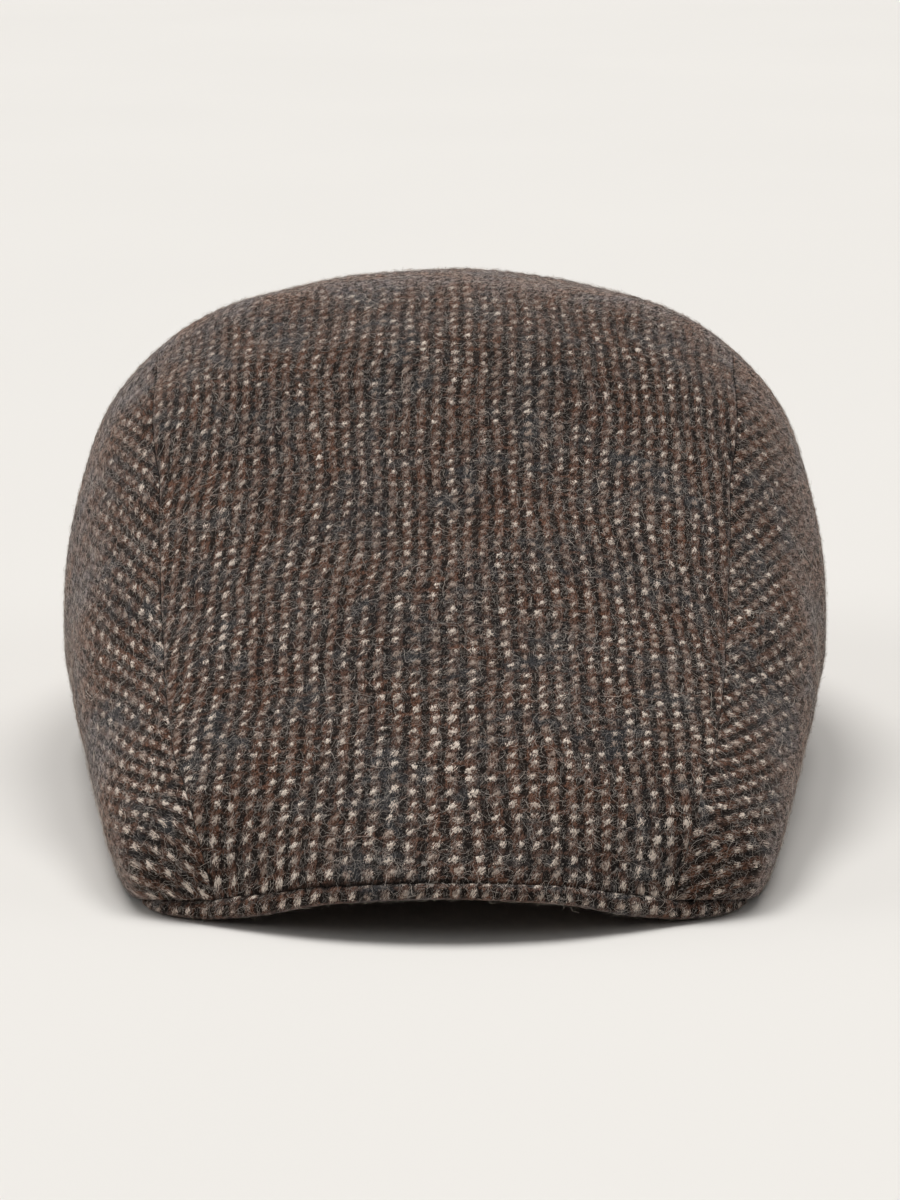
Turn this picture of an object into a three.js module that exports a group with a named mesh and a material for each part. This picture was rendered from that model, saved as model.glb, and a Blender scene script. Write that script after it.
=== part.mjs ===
// A flat cap of thick tweed in the duckbill cut: a centre panel and two side panels over a stiff peak.
// Millimetres. +Z is up, the peak points towards -Y, and the wearer's left is +X.
// The origin is the middle of the cap's plan, on the surface that the hem rests on.
import * as THREE from 'three';

// Cloth and sewing
const WALL = 2; // thickness of the tweed
const SEAM_GAP = 0.5; // between the edges of two panels, measured in plan
const TWEED_COLOUR = 0x3a302a;
const PEAK_COLOUR = 0x352b26;
const TWEED_ROUGHNESS = 0.95;

// How finely each piece is divided
const CENTRE_COLUMNS = 20;
const CENTRE_ROWS = 40; // from the front fold to the widest outline at the back
const SIDE_ROWS = 8; // from the widest outline up to the seam
const HEM_ROWS = 5; // from the widest outline down to the hem
const PEAK_STATIONS = 66;
const NOSE_STEPS = 4;
const FINE_STEPS = 240; // points along a line before it is divided evenly
const NORMAL_STEP = 0.01; // how far apart neighbouring lines are taken to find a face's direction

// One object for each row, with the columns' names as its keys
const table = (columns, rows) => rows.map((row) => Object.fromEntries(columns.map((name, i) => [name, row[i]])));

// The crown's rim, from the front (azimuth 0) round one side to the back (azimuth 180). Both sides are alike.
// reach: plan distance of the widest outline from the origin; inset: how far the hem lies inside it
// hem, bulge: heights of the hem and of the widest outline
// power, root: how late and how roundly the roof turns down to the widest outline
// seat: slope of the hem's underside, which lies on the peak at the front
const RIM = table(
  ['azimuth', 'reach', 'inset', 'hem', 'bulge', 'power', 'root', 'seat'],
  [
    [0, 136.0, 0.0, 12.7, 12.7, 20.0, 1.0, 0.25],
    [10, 136.4, 0.0, 11.3, 11.3, 20.0, 1.0, 0.25],
    [19, 137.2, 0.0, 6.9, 6.9, 20.0, 1.05, 0.25],
    [22, 137.9, 0.0, 5.3, 5.3, 20.0, 1.1, 0.22],
    [24.5, 138.9, 0.4, 4.5, 6.3, 19.0, 1.2, 0.2],
    [27, 139.5, 0.8, 3.5, 7.2, 18.0, 1.3, 0.15],
    [30, 139.0, 1.4, 1.9, 8.7, 16.0, 1.4, 0.05],
    [35, 132.4, 3.0, 0.0, 13.0, 12.5, 1.65, 0.0],
    [45, 118.4, 7.0, 0.0, 18.0, 8.0, 2.2, 0.0],
    [60, 106.0, 12.0, 0.0, 28.5, 7.0, 2.75, 0.0],
    [75, 99.6, 15.0, 0.0, 30.0, 7.4, 2.9, 0.0],
    [90, 100.0, 16.0, 0.0, 30.0, 7.8, 2.9, 0.0],
    [110, 103.5, 16.0, 0.0, 31.0, 7.1, 2.9, 0.0],
    [130, 111.4, 15.0, 0.0, 32.0, 6.5, 2.9, 0.0],
    [150, 124.3, 14.0, 0.0, 33.0, 5.8, 2.9, 0.0],
    [165, 133.6, 14.0, 0.0, 34.0, 5.3, 2.9, 0.0],
    [180, 137.5, 14.0, 0.0, 34.5, 4.8, 2.9, 0.0],
  ],
);

// The roof along the cap: the ridge's height, and how far the roof has fallen at ARCH_OUT from the ridge
const ARCH_OUT = 66;
const ROOF = table(
  ['along', 'ridge', 'fall'],
  [
    [-150, 9.5, 3.0],
    [-126, 24.1, 4.0],
    [-60, 64.7, 7.4],
    [-20, 90.5, 8.0],
    [10, 109.4, 8.4],
    [36, 118.1, 8.6],
    [60, 116.8, 8.8],
    [95, 111.0, 9.2],
    [150, 92.0, 9.6],
  ],
);

// The seam between the centre and a side panel, as a share of the reach, from the peak's edge to the back
const SEAM = table(
  ['azimuth', 'share'],
  [
    [22, 1.0],
    [30, 0.88],
    [36, 0.843],
    [49, 0.795],
    [65, 0.764],
    [80, 0.756],
    [97, 0.76],
    [111, 0.796],
    [129, 0.867],
    [143, 0.935],
    [155, 1.0],
  ],
);
const SEAM_FRONT = SEAM[0].azimuth;
const SEAM_BACK = SEAM[SEAM.length - 1].azimuth;
const SIDE_TIP = 0.5; // degrees behind the seam's front end where the side panel's blunt tip begins
const END_SHARE = 0.3; // share of the panel's length over which its rows straighten from a curved end

// The peak: its edge runs in front of the crown's fold, then inside the side panels' hem to the temples
// lead: how far the edge lies beyond the hem; edge: height of its lower side; thick: thickness of the covered board
const PEAK = table(
  ['azimuth', 'lead', 'edge', 'thick'],
  [
    [0, 1.5, 8.9, 3.5],
    [10, 1.5, 7.1, 3.95],
    [19, 1.5, 1.8, 4.9],
    [23.5, 1.3, 0.3, 3.6],
    [26, 1.3, 0.2, 3.1],
    [28, 0.9, 0.2, 2.1],
    [30, -0.8, 0.2, 1.0],
    [32, -3.4, 0.2, 1.0],
    [36, -3.2, 0.2, 2.2],
    [66, -3.2, 0.2, 2.6],
  ],
);
const PEAK_END = PEAK[PEAK.length - 1].azimuth;
const PEAK_SLOPE = 0.25; // rise of the peak for each millimetre towards the head
// The head's oval, which the peak's back edge follows
const HEAD_HALF_WIDTH = 82;
const HEAD_HALF_LENGTH = 102.5;
const HEAD_CENTRE = 19; // along Y

const radians = THREE.MathUtils.degToRad;
const mix = THREE.MathUtils.lerp;

// One column of a table at any place: a smooth curve through the rows that never passes beyond them.
// A table of one side of the cap is mirrored, so its curve is level at both ends.
function smooth(rows, key, column, place, mirrored = false) {
  const last = rows.length - 1;
  const at = THREE.MathUtils.clamp(place, rows[0][key], rows[last][key]);
  let i = 0;
  while (i < last - 1 && at > rows[i + 1][key]) i++;
  const width = (k) => rows[k + 1][key] - rows[k][key];
  const rise = (k) => (rows[k + 1][column] - rows[k][column]) / width(k);
  const slope = (k) => {
    if (k === 0 || k === last) return mirrored ? 0 : rise(Math.min(k, last - 1));
    if (rise(k - 1) * rise(k) <= 0) return 0;
    const before = 2 * width(k) + width(k - 1);
    const after = width(k) + 2 * width(k - 1);
    return (before + after) / (before / rise(k - 1) + after / rise(k));
  };
  const h = width(i);
  const t = (at - rows[i][key]) / h;
  const t2 = t * t;
  const t3 = t2 * t;
  return (
    (2 * t3 - 3 * t2 + 1) * rows[i][column] +
    (t3 - 2 * t2 + t) * h * slope(i) +
    (3 * t2 - 2 * t3) * rows[i + 1][column] +
    (t3 - t2) * h * slope(i + 1)
  );
}

// Turns an azimuth to between 0 and 180, because both sides of the cap are alike
const folded = (azimuth) => Math.abs(THREE.MathUtils.euclideanModulo(azimuth + 180, 360) - 180);
const rim = (column, azimuth) => smooth(RIM, 'azimuth', column, folded(azimuth), true);
const seamShare = (azimuth) => smooth(SEAM, 'azimuth', 'share', azimuth);
const roofHeight = (x, y) =>
  smooth(ROOF, 'along', 'ridge', y) - smooth(ROOF, 'along', 'fall', y) * (x / ARCH_OUT) ** 2;

// A point at a plan distance and azimuth; azimuth 0 is -Y and +90 is +X
const polar = (azimuth, distance, z) =>
  new THREE.Vector3(distance * Math.sin(radians(azimuth)), -distance * Math.cos(radians(azimuth)), z);

// The crown's outer face above the widest outline, over a plan point
function crownTop(x, y) {
  const azimuth = THREE.MathUtils.radToDeg(Math.atan2(x, -y));
  const share = Math.min(1, Math.hypot(x, y) / rim('reach', azimuth));
  const bulge = rim('bulge', azimuth);
  const turn = (1 - share ** rim('power', azimuth)) ** (1 / rim('root', azimuth));
  return new THREE.Vector3(x, y, bulge + (roofHeight(x, y) - bulge) * turn);
}

// The crown's outer face from the widest outline (down = 0) to the hem (down = 1)
function crownUnder(azimuth, down) {
  const distance = rim('reach', azimuth) - rim('inset', azimuth) * down * down;
  return polar(azimuth, distance, mix(rim('bulge', azimuth), rim('hem', azimuth), down));
}

// Points at even distances along a finely divided line
function evenly(line, count) {
  const lengths = [0];
  for (let i = 1; i < line.length; i++) lengths.push(lengths[i - 1] + line[i].distanceTo(line[i - 1]));
  const total = lengths[lengths.length - 1];
  let i = 1;
  return Array.from({ length: count + 1 }, (_, k) => {
    const want = (total * k) / count;
    while (i < line.length - 1 && lengths[i] < want) i++;
    const span = lengths[i] - lengths[i - 1];
    return line[i - 1].clone().lerp(line[i], span > 0 ? (want - lengths[i - 1]) / span : 0);
  });
}

// The stretch from the widest outline down to the hem at an azimuth
function hemLine(azimuth) {
  const line = [];
  for (let i = 0; i <= FINE_STEPS; i++) line.push(crownUnder(azimuth, i / FINE_STEPS));
  return line;
}

// A line of the centre panel from the front fold over the top to the back hem; across runs from -1 to 1
function centreLine(across) {
  const outline = (azimuth) => polar(azimuth, rim('reach', azimuth), 0);
  const chord = (azimuth) => {
    const end = polar(azimuth, rim('reach', azimuth) * seamShare(azimuth), 0);
    return new THREE.Vector3(end.x * across, end.y, 0);
  };
  const backAzimuth = 180 - (180 - SEAM_BACK) * across;
  const frontBow = outline(SEAM_FRONT * across).sub(chord(SEAM_FRONT));
  const backBow = outline(backAzimuth).sub(chord(SEAM_BACK));
  const top = [];
  for (let i = 0; i <= FINE_STEPS; i++) {
    const t = i / FINE_STEPS;
    const plan = chord(mix(SEAM_FRONT, SEAM_BACK, t));
    plan.addScaledVector(frontBow, Math.max(0, 1 - t / END_SHARE) ** 2);
    plan.addScaledVector(backBow, Math.max(0, 1 - (1 - t) / END_SHARE) ** 2);
    top.push(crownTop(plan.x, plan.y));
  }
  return [...evenly(top, CENTRE_ROWS), ...evenly(hemLine(backAzimuth), HEM_ROWS).slice(1)];
}

// The left seam, divided as the centre panel's lines are
function seamPoints() {
  const seam = [];
  for (let i = 0; i <= FINE_STEPS; i++) {
    const azimuth = mix(SEAM_FRONT, SEAM_BACK, i / FINE_STEPS);
    const plan = polar(azimuth, rim('reach', azimuth) * seamShare(azimuth), 0);
    seam.push(crownTop(plan.x, plan.y));
  }
  return evenly(seam, CENTRE_ROWS);
}

// A line of the left side panel from the hem up to the seam
function sideLine(azimuth) {
  const reach = rim('reach', azimuth);
  const seam = Math.min(1, seamShare(azimuth) + SEAM_GAP / 2 / reach);
  const top = [];
  for (let i = 0; i <= FINE_STEPS; i++) {
    // closer together near the widest outline, where the face is steep
    const plan = polar(azimuth, reach * mix(1, seam, (i / FINE_STEPS) ** 2), 0);
    top.push(crownTop(plan.x, plan.y));
  }
  return [...evenly(hemLine(azimuth), HEM_ROWS).reverse(), ...evenly(top, SIDE_ROWS).slice(1)];
}

// A panel's points and outward normals, a column for each place; lineAt gives the line at a place.
// Seen from outside, the places run to the right where the lines run up.
function panelGrid(places, lineAt, step) {
  const columns = places.map((place) => {
    const line = lineAt(place);
    const before = lineAt(place - step);
    const after = lineAt(place + step);
    return line.map((point, i) => {
      const up = line[Math.min(i + 1, line.length - 1)].clone().sub(line[Math.max(i - 1, 0)]);
      const along = after[i].clone().sub(before[i]);
      return { point, normal: along.cross(up).normalize() };
    });
  });
  return columns[0].map((_, i) => columns.map((column) => column[i]));
}

// The inner end of the hem: level at the sides and back, and sloped as the peak is at the front
function hemInside(point, normal) {
  const azimuth = THREE.MathUtils.radToDeg(Math.atan2(point.x, -point.y));
  const seat = rim('seat', azimuth);
  const outward = normal.clone().setZ(0).normalize();
  const depth = WALL / (normal.dot(outward) - seat * normal.z);
  return point.clone().addScaledVector(outward, -depth).setZ(point.z + seat * depth);
}

// A panel of cloth: the grid is its outer face, and hemRows are the rows that end on the hem
function panelGeometry(grid, hemRows) {
  const rows = grid.length;
  const columns = grid[0].length;
  const outer = grid.flat().map(({ point }) => point);
  const inner = grid.flatMap((row, i) =>
    row.map(({ point, normal }) =>
      hemRows.includes(i) ? hemInside(point, normal) : point.clone().addScaledVector(normal, -WALL),
    ),
  );
  const outside = (i, j) => i * columns + j;
  const inside = (i, j) => rows * columns + i * columns + j;
  const index = [];
  for (let i = 0; i < rows - 1; i++) {
    for (let j = 0; j < columns - 1; j++) {
      const corners = [[i, j], [i, j + 1], [i + 1, j + 1], [i + 1, j]];
      const [a, b, c, d] = corners.map((corner) => outside(...corner));
      const [p, q, r, s] = corners.map((corner) => inside(...corner));
      index.push(a, b, c, a, c, d, p, r, q, p, s, r);
    }
  }
  // The cut edges, once round the panel
  const loop = [];
  for (let j = 0; j < columns - 1; j++) loop.push([0, j]);
  for (let i = 0; i < rows - 1; i++) loop.push([i, columns - 1]);
  for (let j = columns - 1; j > 0; j--) loop.push([rows - 1, j]);
  for (let i = rows - 1; i > 0; i--) loop.push([i, 0]);
  loop.forEach((from, k) => {
    const to = loop[(k + 1) % loop.length];
    index.push(outside(...to), outside(...from), inside(...from), outside(...to), inside(...from), inside(...to));
  });
  return pointsGeometry([...outer, ...inner], index);
}

function pointsGeometry(points, index) {
  const geometry = new THREE.BufferGeometry().setFromPoints(points);
  geometry.setIndex(index);
  geometry.computeVertexNormals();
  return geometry;
}

// The centre panel's columns run from the right seam to the left one
function centrePanel() {
  const seamHalfWidth = rim('reach', 90) * seamShare(90);
  const edge = 1 - SEAM_GAP / 2 / seamHalfWidth;
  const places = Array.from({ length: CENTRE_COLUMNS + 1 }, (_, j) => mix(-edge, edge, j / CENTRE_COLUMNS));
  const grid = panelGrid(places, centreLine, NORMAL_STEP);
  return panelGeometry(grid, [0, grid.length - 1]);
}

// side is 1 for the wearer's left and -1 for the right
function sidePanel(side) {
  const gapTurn = THREE.MathUtils.radToDeg(SEAM_GAP / 2 / rim('reach', SEAM_BACK));
  const azimuths = seamPoints().map((p) => {
    const azimuth = THREE.MathUtils.radToDeg(Math.atan2(p.x, -p.y));
    return THREE.MathUtils.clamp(azimuth, SEAM_FRONT + SIDE_TIP, SEAM_BACK - gapTurn);
  });
  const mirrored = (place) => sideLine(side * place).map((p) => new THREE.Vector3(side * p.x, p.y, p.z));
  const places = side > 0 ? azimuths : azimuths.map((azimuth) => -azimuth).reverse();
  return panelGeometry(panelGrid(places, mirrored, NORMAL_STEP), [0]);
}

// Where a line from the origin at an azimuth meets the head's oval
function headReach(azimuth) {
  const x = Math.sin(radians(azimuth)) / HEAD_HALF_WIDTH;
  const y = -Math.cos(radians(azimuth)) / HEAD_HALF_LENGTH;
  const offset = HEAD_CENTRE / HEAD_HALF_LENGTH;
  const a = x * x + y * y;
  const b = -y * offset;
  return (-b + Math.sqrt(b * b - a * (offset * offset - 1))) / a;
}

// The peak's section at an azimuth: lower side, rounded nose, upper side and back edge
function peakSection(azimuth) {
  const at = (column) => smooth(PEAK, 'azimuth', column, Math.abs(azimuth), true);
  const nose = rim('reach', azimuth) - rim('inset', azimuth) + at('lead');
  const radius = at('thick') / 2;
  const back = headReach(azimuth);
  const centre = nose - radius;
  const lower = (distance) => at('edge') + PEAK_SLOPE * (centre - distance);
  const section = [[back, lower(back)]];
  for (let i = 0; i <= NOSE_STEPS; i++) {
    const angle = Math.PI * (i / NOSE_STEPS - 0.5);
    section.push([centre + radius * Math.cos(angle), lower(centre) + radius * (1 + Math.sin(angle))]);
  }
  section.push([back, lower(back) + 2 * radius]);
  return section.map(([distance, z]) => polar(azimuth, distance, z));
}

function peak() {
  const sections = [];
  for (let k = 0; k <= PEAK_STATIONS; k++) {
    sections.push(peakSection(mix(-PEAK_END, PEAK_END, k / PEAK_STATIONS)));
  }
  const size = sections[0].length;
  const index = [];
  for (let k = 0; k < PEAK_STATIONS; k++) {
    for (let i = 0; i < size; i++) {
      const next = (i + 1) % size;
      const [a, b] = [k * size + i, k * size + next];
      index.push(a, a + size, b + size, a, b + size, b);
    }
  }
  const end = PEAK_STATIONS * size;
  for (let i = 1; i < size - 1; i++) {
    index.push(0, i, i + 1, end, end + i + 1, end + i);
  }
  return pointsGeometry(sections.flat(), index);
}

function piece(name, geometry, color) {
  const material = new THREE.MeshStandardMaterial({ color, roughness: TWEED_ROUGHNESS, metalness: 0 });
  const mesh = new THREE.Mesh(geometry, material);
  mesh.name = name;
  return mesh;
}

const crown = new THREE.Group();
crown.add(piece('crown_centre_panel', centrePanel(), TWEED_COLOUR));
crown.add(piece('crown_side_left', sidePanel(1), TWEED_COLOUR));
crown.add(piece('crown_side_right', sidePanel(-1), TWEED_COLOUR));

const cap = new THREE.Group();
cap.add(crown);
cap.add(piece('peak', peak(), PEAK_COLOUR));

export default cap;
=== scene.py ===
"""Dresses a flat cap in chunky tweed: woven crown panels, a covered peak, stray fibres and a plain stage.

Shapes are worked out in millimetres and placed in metres.
+Z is up, the peak points towards -Y, and +X is the wearer's left.
"""

import math

import bpy
import numpy as np
from bpy.props import FloatProperty, FloatVectorProperty, PointerProperty
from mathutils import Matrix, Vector


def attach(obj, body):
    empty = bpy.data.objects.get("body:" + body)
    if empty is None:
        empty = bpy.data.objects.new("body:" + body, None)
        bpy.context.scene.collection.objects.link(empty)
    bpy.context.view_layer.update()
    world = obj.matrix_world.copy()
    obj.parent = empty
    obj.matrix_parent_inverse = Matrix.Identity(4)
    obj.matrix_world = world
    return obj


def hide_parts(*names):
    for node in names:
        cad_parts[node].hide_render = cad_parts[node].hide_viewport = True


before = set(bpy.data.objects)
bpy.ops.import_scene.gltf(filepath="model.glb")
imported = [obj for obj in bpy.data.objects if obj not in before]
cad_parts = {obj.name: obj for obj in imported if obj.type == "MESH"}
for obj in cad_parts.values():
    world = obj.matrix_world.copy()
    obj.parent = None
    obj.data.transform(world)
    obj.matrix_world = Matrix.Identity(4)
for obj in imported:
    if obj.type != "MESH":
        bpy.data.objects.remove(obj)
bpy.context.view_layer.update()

bl_info = {
    "name": "Tweed flat cap",
    "version": (1, 0, 0),
    "blender": (4, 5, 0),
    "location": "View3D > Sidebar > Flat cap",
    "description": "Builds a duckbill flat cap of chunky tweed with its stage",
    "category": "Add Mesh",
}

MM = 0.001
BODY = "root"
SEED = 1907  # every random draw starts from it
TINY = 1e-9  # keeps a division from nought

# How finely each piece is divided. Rows and columns are even in number, as the inside takes every second
CENTRE_COLUMNS = 156
CENTRE_ROWS = 340
SIDE_COLUMNS = 280
SIDE_ROWS = 92
PEAK_STATIONS = 300
PEAK_FLAT_STEPS = 10
PEAK_NOSE_STEPS = 14
FINE_STEPS = 500
UNDER_STEPS = 80
EDGE_RINGS = 4
TRIM_MOST = 0.4  # most of a line's length that its trimmed ends may take


class Curve:
    """A smooth curve through one column of a table, which never passes beyond the column's rows."""

    def __init__(self, places, values, level_ends):
        self.places = places
        self.values = values
        width = np.diff(places)
        rise = np.diff(values) / width
        self.slopes = np.zeros(len(values))
        if not level_ends:
            self.slopes[0] = rise[0]
            self.slopes[-1] = rise[-1]
        for k in range(1, len(values) - 1):
            if rise[k - 1] * rise[k] > 0:
                before = 2 * width[k] + width[k - 1]
                after = width[k] + 2 * width[k - 1]
                self.slopes[k] = (before + after) / (before / rise[k - 1] + after / rise[k])

    def __call__(self, place):
        at = np.clip(place, self.places[0], self.places[-1])
        i = np.clip(np.searchsorted(self.places, at) - 1, 0, len(self.places) - 2)
        width = self.places[i + 1] - self.places[i]
        t = (at - self.places[i]) / width
        start = (2 * t**3 - 3 * t**2 + 1) * self.values[i] + (t**3 - 2 * t**2 + t) * width * self.slopes[i]
        end = (3 * t**2 - 2 * t**3) * self.values[i + 1] + (t**3 - t**2) * width * self.slopes[i + 1]
        return start + end


def curves(columns, rows, level_ends=False):
    """A curve for each column of a table over its first column, by the column's name."""
    data = np.array(rows, float).T
    return {name: Curve(data[0], values, level_ends) for name, values in zip(columns[1:], data[1:])}


# The crown's rim from the front (azimuth 0) round one side to the back (azimuth 180); both sides are alike
# reach: plan distance of the widest outline from the origin; inset: how far the hem lies inside it
# hem, bulge: heights of the hem and of the widest outline
# power, root: how late and how roundly the roof turns down to the widest outline
RIM = curves(
    ("azimuth", "reach", "inset", "hem", "bulge", "power", "root"),
    [
        (0, 136.0, 0.0, 12.7, 12.7, 20.0, 1.0),
        (10, 136.4, 0.0, 11.3, 11.3, 20.0, 1.0),
        (19, 137.2, 0.0, 6.9, 6.9, 20.0, 1.05),
        (22, 137.9, 0.0, 5.3, 5.3, 20.0, 1.1),
        (24.5, 138.9, 0.4, 4.5, 6.3, 19.0, 1.2),
        (27, 139.5, 0.8, 3.5, 7.2, 18.0, 1.3),
        (30, 139.0, 1.4, 1.9, 8.7, 16.0, 1.4),
        (35, 132.4, 3.0, 0.0, 13.0, 12.5, 1.65),
        (45, 118.4, 7.0, 0.0, 18.0, 8.0, 2.2),
        (60, 106.0, 12.0, 0.0, 28.5, 7.0, 2.75),
        (75, 99.6, 15.0, 0.0, 30.0, 7.4, 2.9),
        (90, 100.0, 16.0, 0.0, 30.0, 7.8, 2.9),
        (110, 103.5, 16.0, 0.0, 31.0, 7.1, 2.9),
        (130, 111.4, 15.0, 0.0, 32.0, 6.5, 2.9),
        (150, 124.3, 14.0, 0.0, 33.0, 5.8, 2.9),
        (165, 133.6, 14.0, 0.0, 34.0, 5.3, 2.9),
        (180, 137.5, 14.0, 0.0, 34.5, 4.8, 2.9),
    ],
    level_ends=True,
)

# The roof along the cap: the ridge's height, and how far the roof has fallen at ARCH_OUT from the ridge
ARCH_OUT = 66.0
ROOF = curves(
    ("along", "ridge", "fall"),
    [
        (-150, 9.5, 3.0),
        (-126, 24.1, 4.0),
        (-60, 64.7, 7.4),
        (-20, 90.5, 8.0),
        (10, 109.4, 8.4),
        (36, 118.1, 8.6),
        (60, 116.8, 8.8),
        (95, 111.0, 9.2),
        (150, 92.0, 9.6),
    ],
)

# The seam between the centre and a side panel, as a share of the reach, from the peak's edge to the back
SEAM_FRONT = 22.0
SEAM_BACK = 155.0
SEAM = curves(
    ("azimuth", "share"),
    [
        (SEAM_FRONT, 1.0),
        (30, 0.88),
        (36, 0.843),
        (49, 0.795),
        (65, 0.764),
        (80, 0.756),
        (97, 0.76),
        (111, 0.796),
        (129, 0.867),
        (143, 0.935),
        (SEAM_BACK, 1.0),
    ],
)
STRAIGHT_ASIDE = 90.0
END_SHARE = 0.3  # share of the panel's length over which its rows straighten from a curved end
SIDE_TIP = 0.15  # degrees behind the seam's front end where the side panel's blunt tip begins

# The peak
# lead: how far its edge lies beyond the hem; edge: height of its lower side; thick: its thickness
# tuck: how far its covering swells up under the crown's fold
PEAK_END = 66.0
PEAK = curves(
    ("azimuth", "lead", "edge", "thick", "tuck"),
    [
        (0, 1.5, 8.9, 3.5, 0.1),
        (10, 1.5, 7.1, 3.95, 0.1),
        (19, 1.5, 1.8, 4.9, 0.3),
        (23.5, 1.3, 0.3, 3.6, 0.4),
        (26, 1.3, 0.2, 3.1, 0.4),
        (28, 0.9, 0.2, 2.1, 0.4),
        (30, -0.8, 0.2, 1.0, 0.2),
        (32, -3.4, 0.2, 1.0, 0.0),
        (36, -3.2, 0.2, 2.2, 0.0),
        (PEAK_END, -3.2, 0.2, 2.6, 0.0),
    ],
    level_ends=True,
)
PEAK_SLOPE = 0.25  # rise of the peak for each millimetre towards the head
HEAD_HALF_WIDTH = 82.0
HEAD_HALF_LENGTH = 102.5
HEAD_CENTRE = 19.0

# How the weave lies on the centre panel, along the cap
# bow: how far back a row lies at ARCH_OUT from its middle
# stretch: how far apart the columns within STRETCH_OUT of the middle are pulled
STRETCH_OUT = 22.0
LAY = curves(
    ("along", "bow", "stretch"),
    [
        (-136, 11.0, 0.19),
        (-110, 6.0, 0.15),
        (-78, 0.0, 0.07),
        (-40, 2.0, 0.0),
        (10, 9.0, 0.0),
        (60, 9.0, 0.0),
        (140, 6.0, 0.0),
    ],
)
LAY_TURN = (60.0, 110.0)  # along the cap, where rows stop following the plan and follow the panel's length
SIDE_LEVEL = 31.0  # height at which a side panel's columns lie level
SIDE_MIDDLE = 0.45  # share of a side panel's height along which its rows are counted
SIDE_STRETCH = (0.94, 1.33)  # how far apart a side panel's columns and rows are pulled
STEEP_LEAST = 0.3  # least slope over which the columns of a low side panel are counted
SIDE_EVEN = 0.35  # how far a side panel's columns are spaced evenly round the cap, and not along the seam

# Soft unevenness of the cloth: how many waves, their least and greatest length, and their depth
SWELL_COUNT = 9
SWELL_WAVES = (26.0, 70.0)
SWELL_DEPTH = 0.16
SWELL_MATCH = 16.0  # how far from a seam the centre panel swells alike on both sides, as the side panels do
SEAM_DIP = 0.05
SEAM_DIP_WIDTH = 3.0
SEAM_CALM = 4.0  # how far from a seam the weave is pressed flat
PUCKER_DEPTH = 0.08
PUCKER_WAVE = 8.5
PUCKER_WIDTH = 7.0
PUCKER_STRAY = 2.2  # angle by which puckers stray from an even spacing
PUCKER_STRAY_SPAN = 13.0
RIDGE_SHARE = 0.35  # height of a column between two floats, as a share of a float's
PEAK_RELIEF_SHARE = 0.6  # height of the weave on the peak, as a share of the crown's
PEAK_ROW = 0.5  # row number of the weave along the peak's edge

# How the weave's threads stray from their course: the same of their waves, with the depth in cells
WANDER_COUNT = 8
WANDER_WAVES = (14.0, 60.0)
WANDER_DEPTH = 0.06

# Stray fibres: the parts of each strip, the share with a free end, and what all have in common
FUZZ_STRIP = {"segments": 2, "free": 0.6}
CURL_STRIP = {"segments": 5, "free": 0.3}
CM2 = 100.0  # square millimetres in a square centimetre
FIBRE_SEED = SEED + 21
FIBRE_SPREAD = 0.4  # how far lengths vary, as a logarithm
FIBRE_LENGTHS = (0.6, 9.0)
FIBRE_CURL = 2.4  # angle through which a whole fibre commonly turns
FIBRE_KINK = 1.1  # angle by which each part of it commonly strays
FIBRE_RISE = 0.8  # power by which a free end rises
FIBRE_TILT = 1.0  # most that a strip turns about its own length
FIBRE_WIDTHS = (0.6, 1.3)  # least and greatest, as shares of the common width
FIBRE_TIP = 0.45  # width of a fibre's ends, as a share of its middle's
FIBRE_FLOOR = 0.05  # least height above the floor

# Each float of the weave shows as a cluster of pale bits: half its size in cells, its lean and its stray
CLUSTER_HALF = (0.18, 0.27)
CLUSTER_LEAN = math.radians(26.0)
CLUSTER_STRAY = 0.3
RUFFLE_DEPTH = 0.35  # how far the cells' borders stray, in cells
BITS_LEAN = math.radians(60.0)  # direction in which bits and fibres lie on the cloth, from across it
BITS_SHAPE = (0.62, 1.3)  # how finely they are cut along that direction and across it
CELL_SHAPE = 1.5  # how much wider a cell looks than it is high
HALF = (0.5, 0.5, 0.5)  # the middle of a cell, and of noise
COLUMN_ONLY = (1.0, 0.0, 0.0)

# Plain noise over the weave: how fine it is in a cell, its octaves, roughness and distortion
FIELDS = {
    "ruffle": (1.8, 3.0, 0.6),
    "patch": (0.14, 3.0),
    "wool": (6.5, 3.0, 0.7, 0.8),
    "specks": (8.0, 2.0, 0.6, 0.5),
    "mat": (2.2, 5.0, 0.8, 1.0),
}

# Noise about nought: where it is taken from, how fine it is, its strength and its octaves
SPREADS = {
    "warm": ((11.0, 31.0, 0.0), 0.2, 2.4, 3.0),
    "dark": ((0.0, 0.0, 0.0), 1.6, 2.6, 3.0),
    "cool": ((40.0, 9.0, 0.0), 0.8, 1.0, 3.0),
    "dull": ((9.0, 71.0, 0.0), 5.6, 3.2, 2.0),
    "bits": ((3.0, 23.0, 0.0), 9.0, 6.2, 2.0),
    "clumps": ((8.0, 3.0, 0.0), 4.5, 3.0, 1.0),
    "tint": ((63.0, 2.0, 0.0), 4.0, 2.2, 2.0),
}
SPREAD_ROUGHNESS = 0.6
SPREAD_DISTORTION = 0.5

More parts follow.
